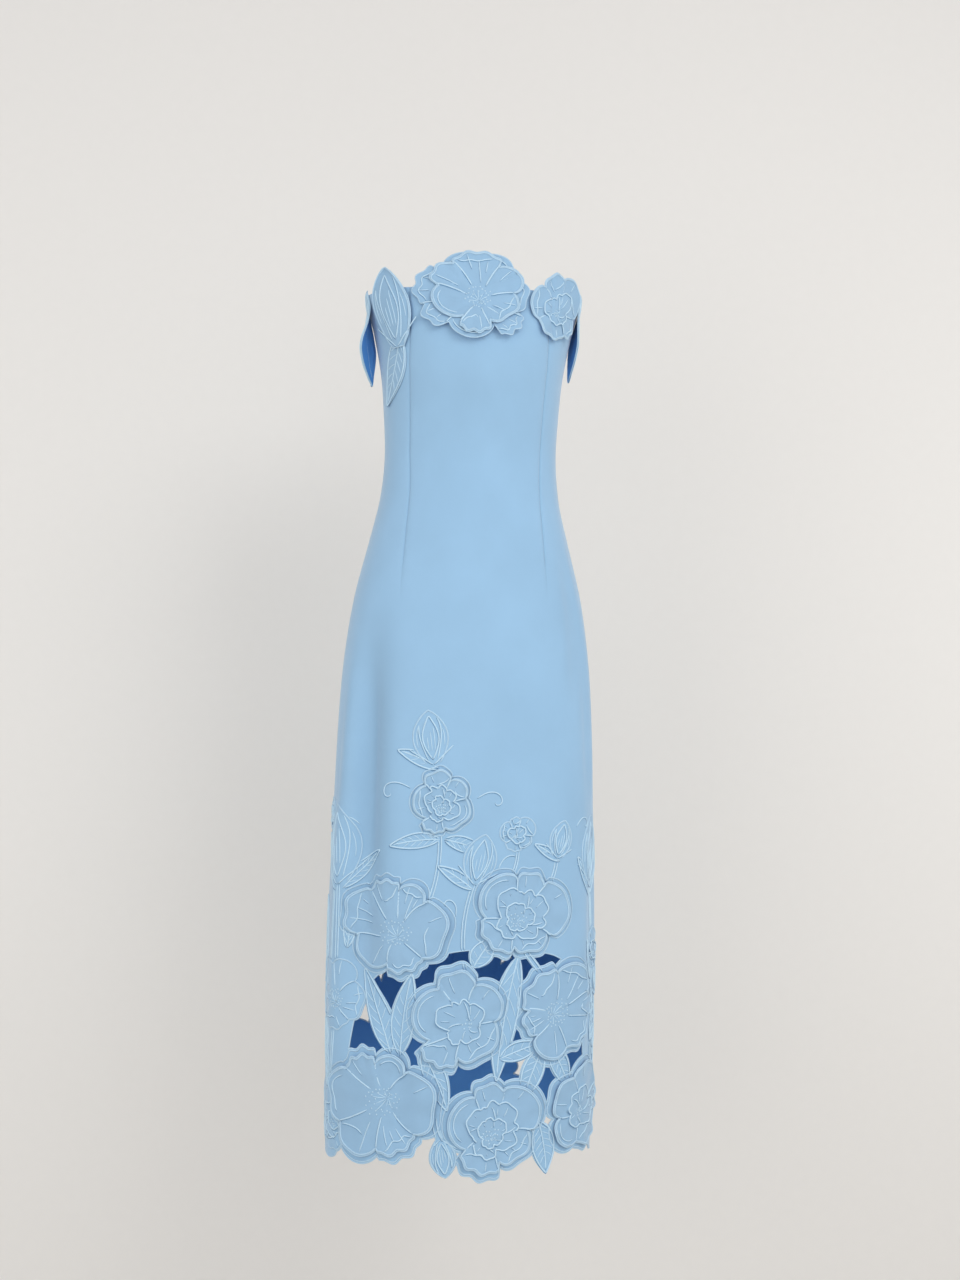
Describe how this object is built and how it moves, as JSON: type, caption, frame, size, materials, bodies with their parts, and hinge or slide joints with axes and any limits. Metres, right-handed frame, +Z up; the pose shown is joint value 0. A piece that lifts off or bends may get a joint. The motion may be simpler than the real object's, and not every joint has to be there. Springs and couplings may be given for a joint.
{
  "type": "strapless column dress",
  "caption": "Strapless midi column dress in pale blue crepe, hollow as worn, with long front darts, raised flowers at the neckline and an openwork floral hem.",
  "frame": {"origin": "on the axis of the body at the height of the straight neckline, where the wearer's chest holds the dress", "axes": "+Z up, -Y is the front, +X is the wearer's left"},
  "size_m": [0.3633, 0.251, 1.1929],
  "materials": {
    "crepe": "matt stretch crepe",
    "petal": "matt crepe, edges bound in satin stitch",
    "embroidery": "slightly shiny thread",
    "zip_tape": "woven tape",
    "zip_metal": "enamelled to match the cloth"
  },
  "bodies": {
    "dress": {"back_left": "crepe", "back_right": "crepe", "front": "crepe", "hem_bloom_back_a": "petal", "hem_bloom_back_b": "petal", "hem_bloom_back_c": "petal", "hem_bloom_back_e": "petal", "hem_bloom_back_g": "petal", "hem_bloom_front_a": "petal", "hem_bloom_front_b": "petal", "hem_bloom_front_c": "petal", "hem_bloom_front_d": "petal", "hem_bloom_front_e": "petal", "hem_bloom_front_f": "petal", "hem_bloom_front_g": "petal", "hem_bloom_front_h": "petal", "neck_bloom_lower": "petal", "neck_bloom_side": "petal", "neck_bloom_upper": "petal", "neck_bud": "petal", "neck_leaf_front": "petal", "neck_leaf_left": "petal", "neck_leaf_right": "petal", "zip_slider": "zip_metal", "zip_tape": "zip_tape"},
    "zip_tab": {"zip_pull_tab": "zip_metal"}
  },
  "joints": [
    {"name": "pull_tab_swing", "type": "hinge", "parent": "dress", "child": "zip_tab", "pos_m": [0, 0.09296, -0.013], "axis": [1, 0, 0], "range_deg": [0, 150]}
  ]
}
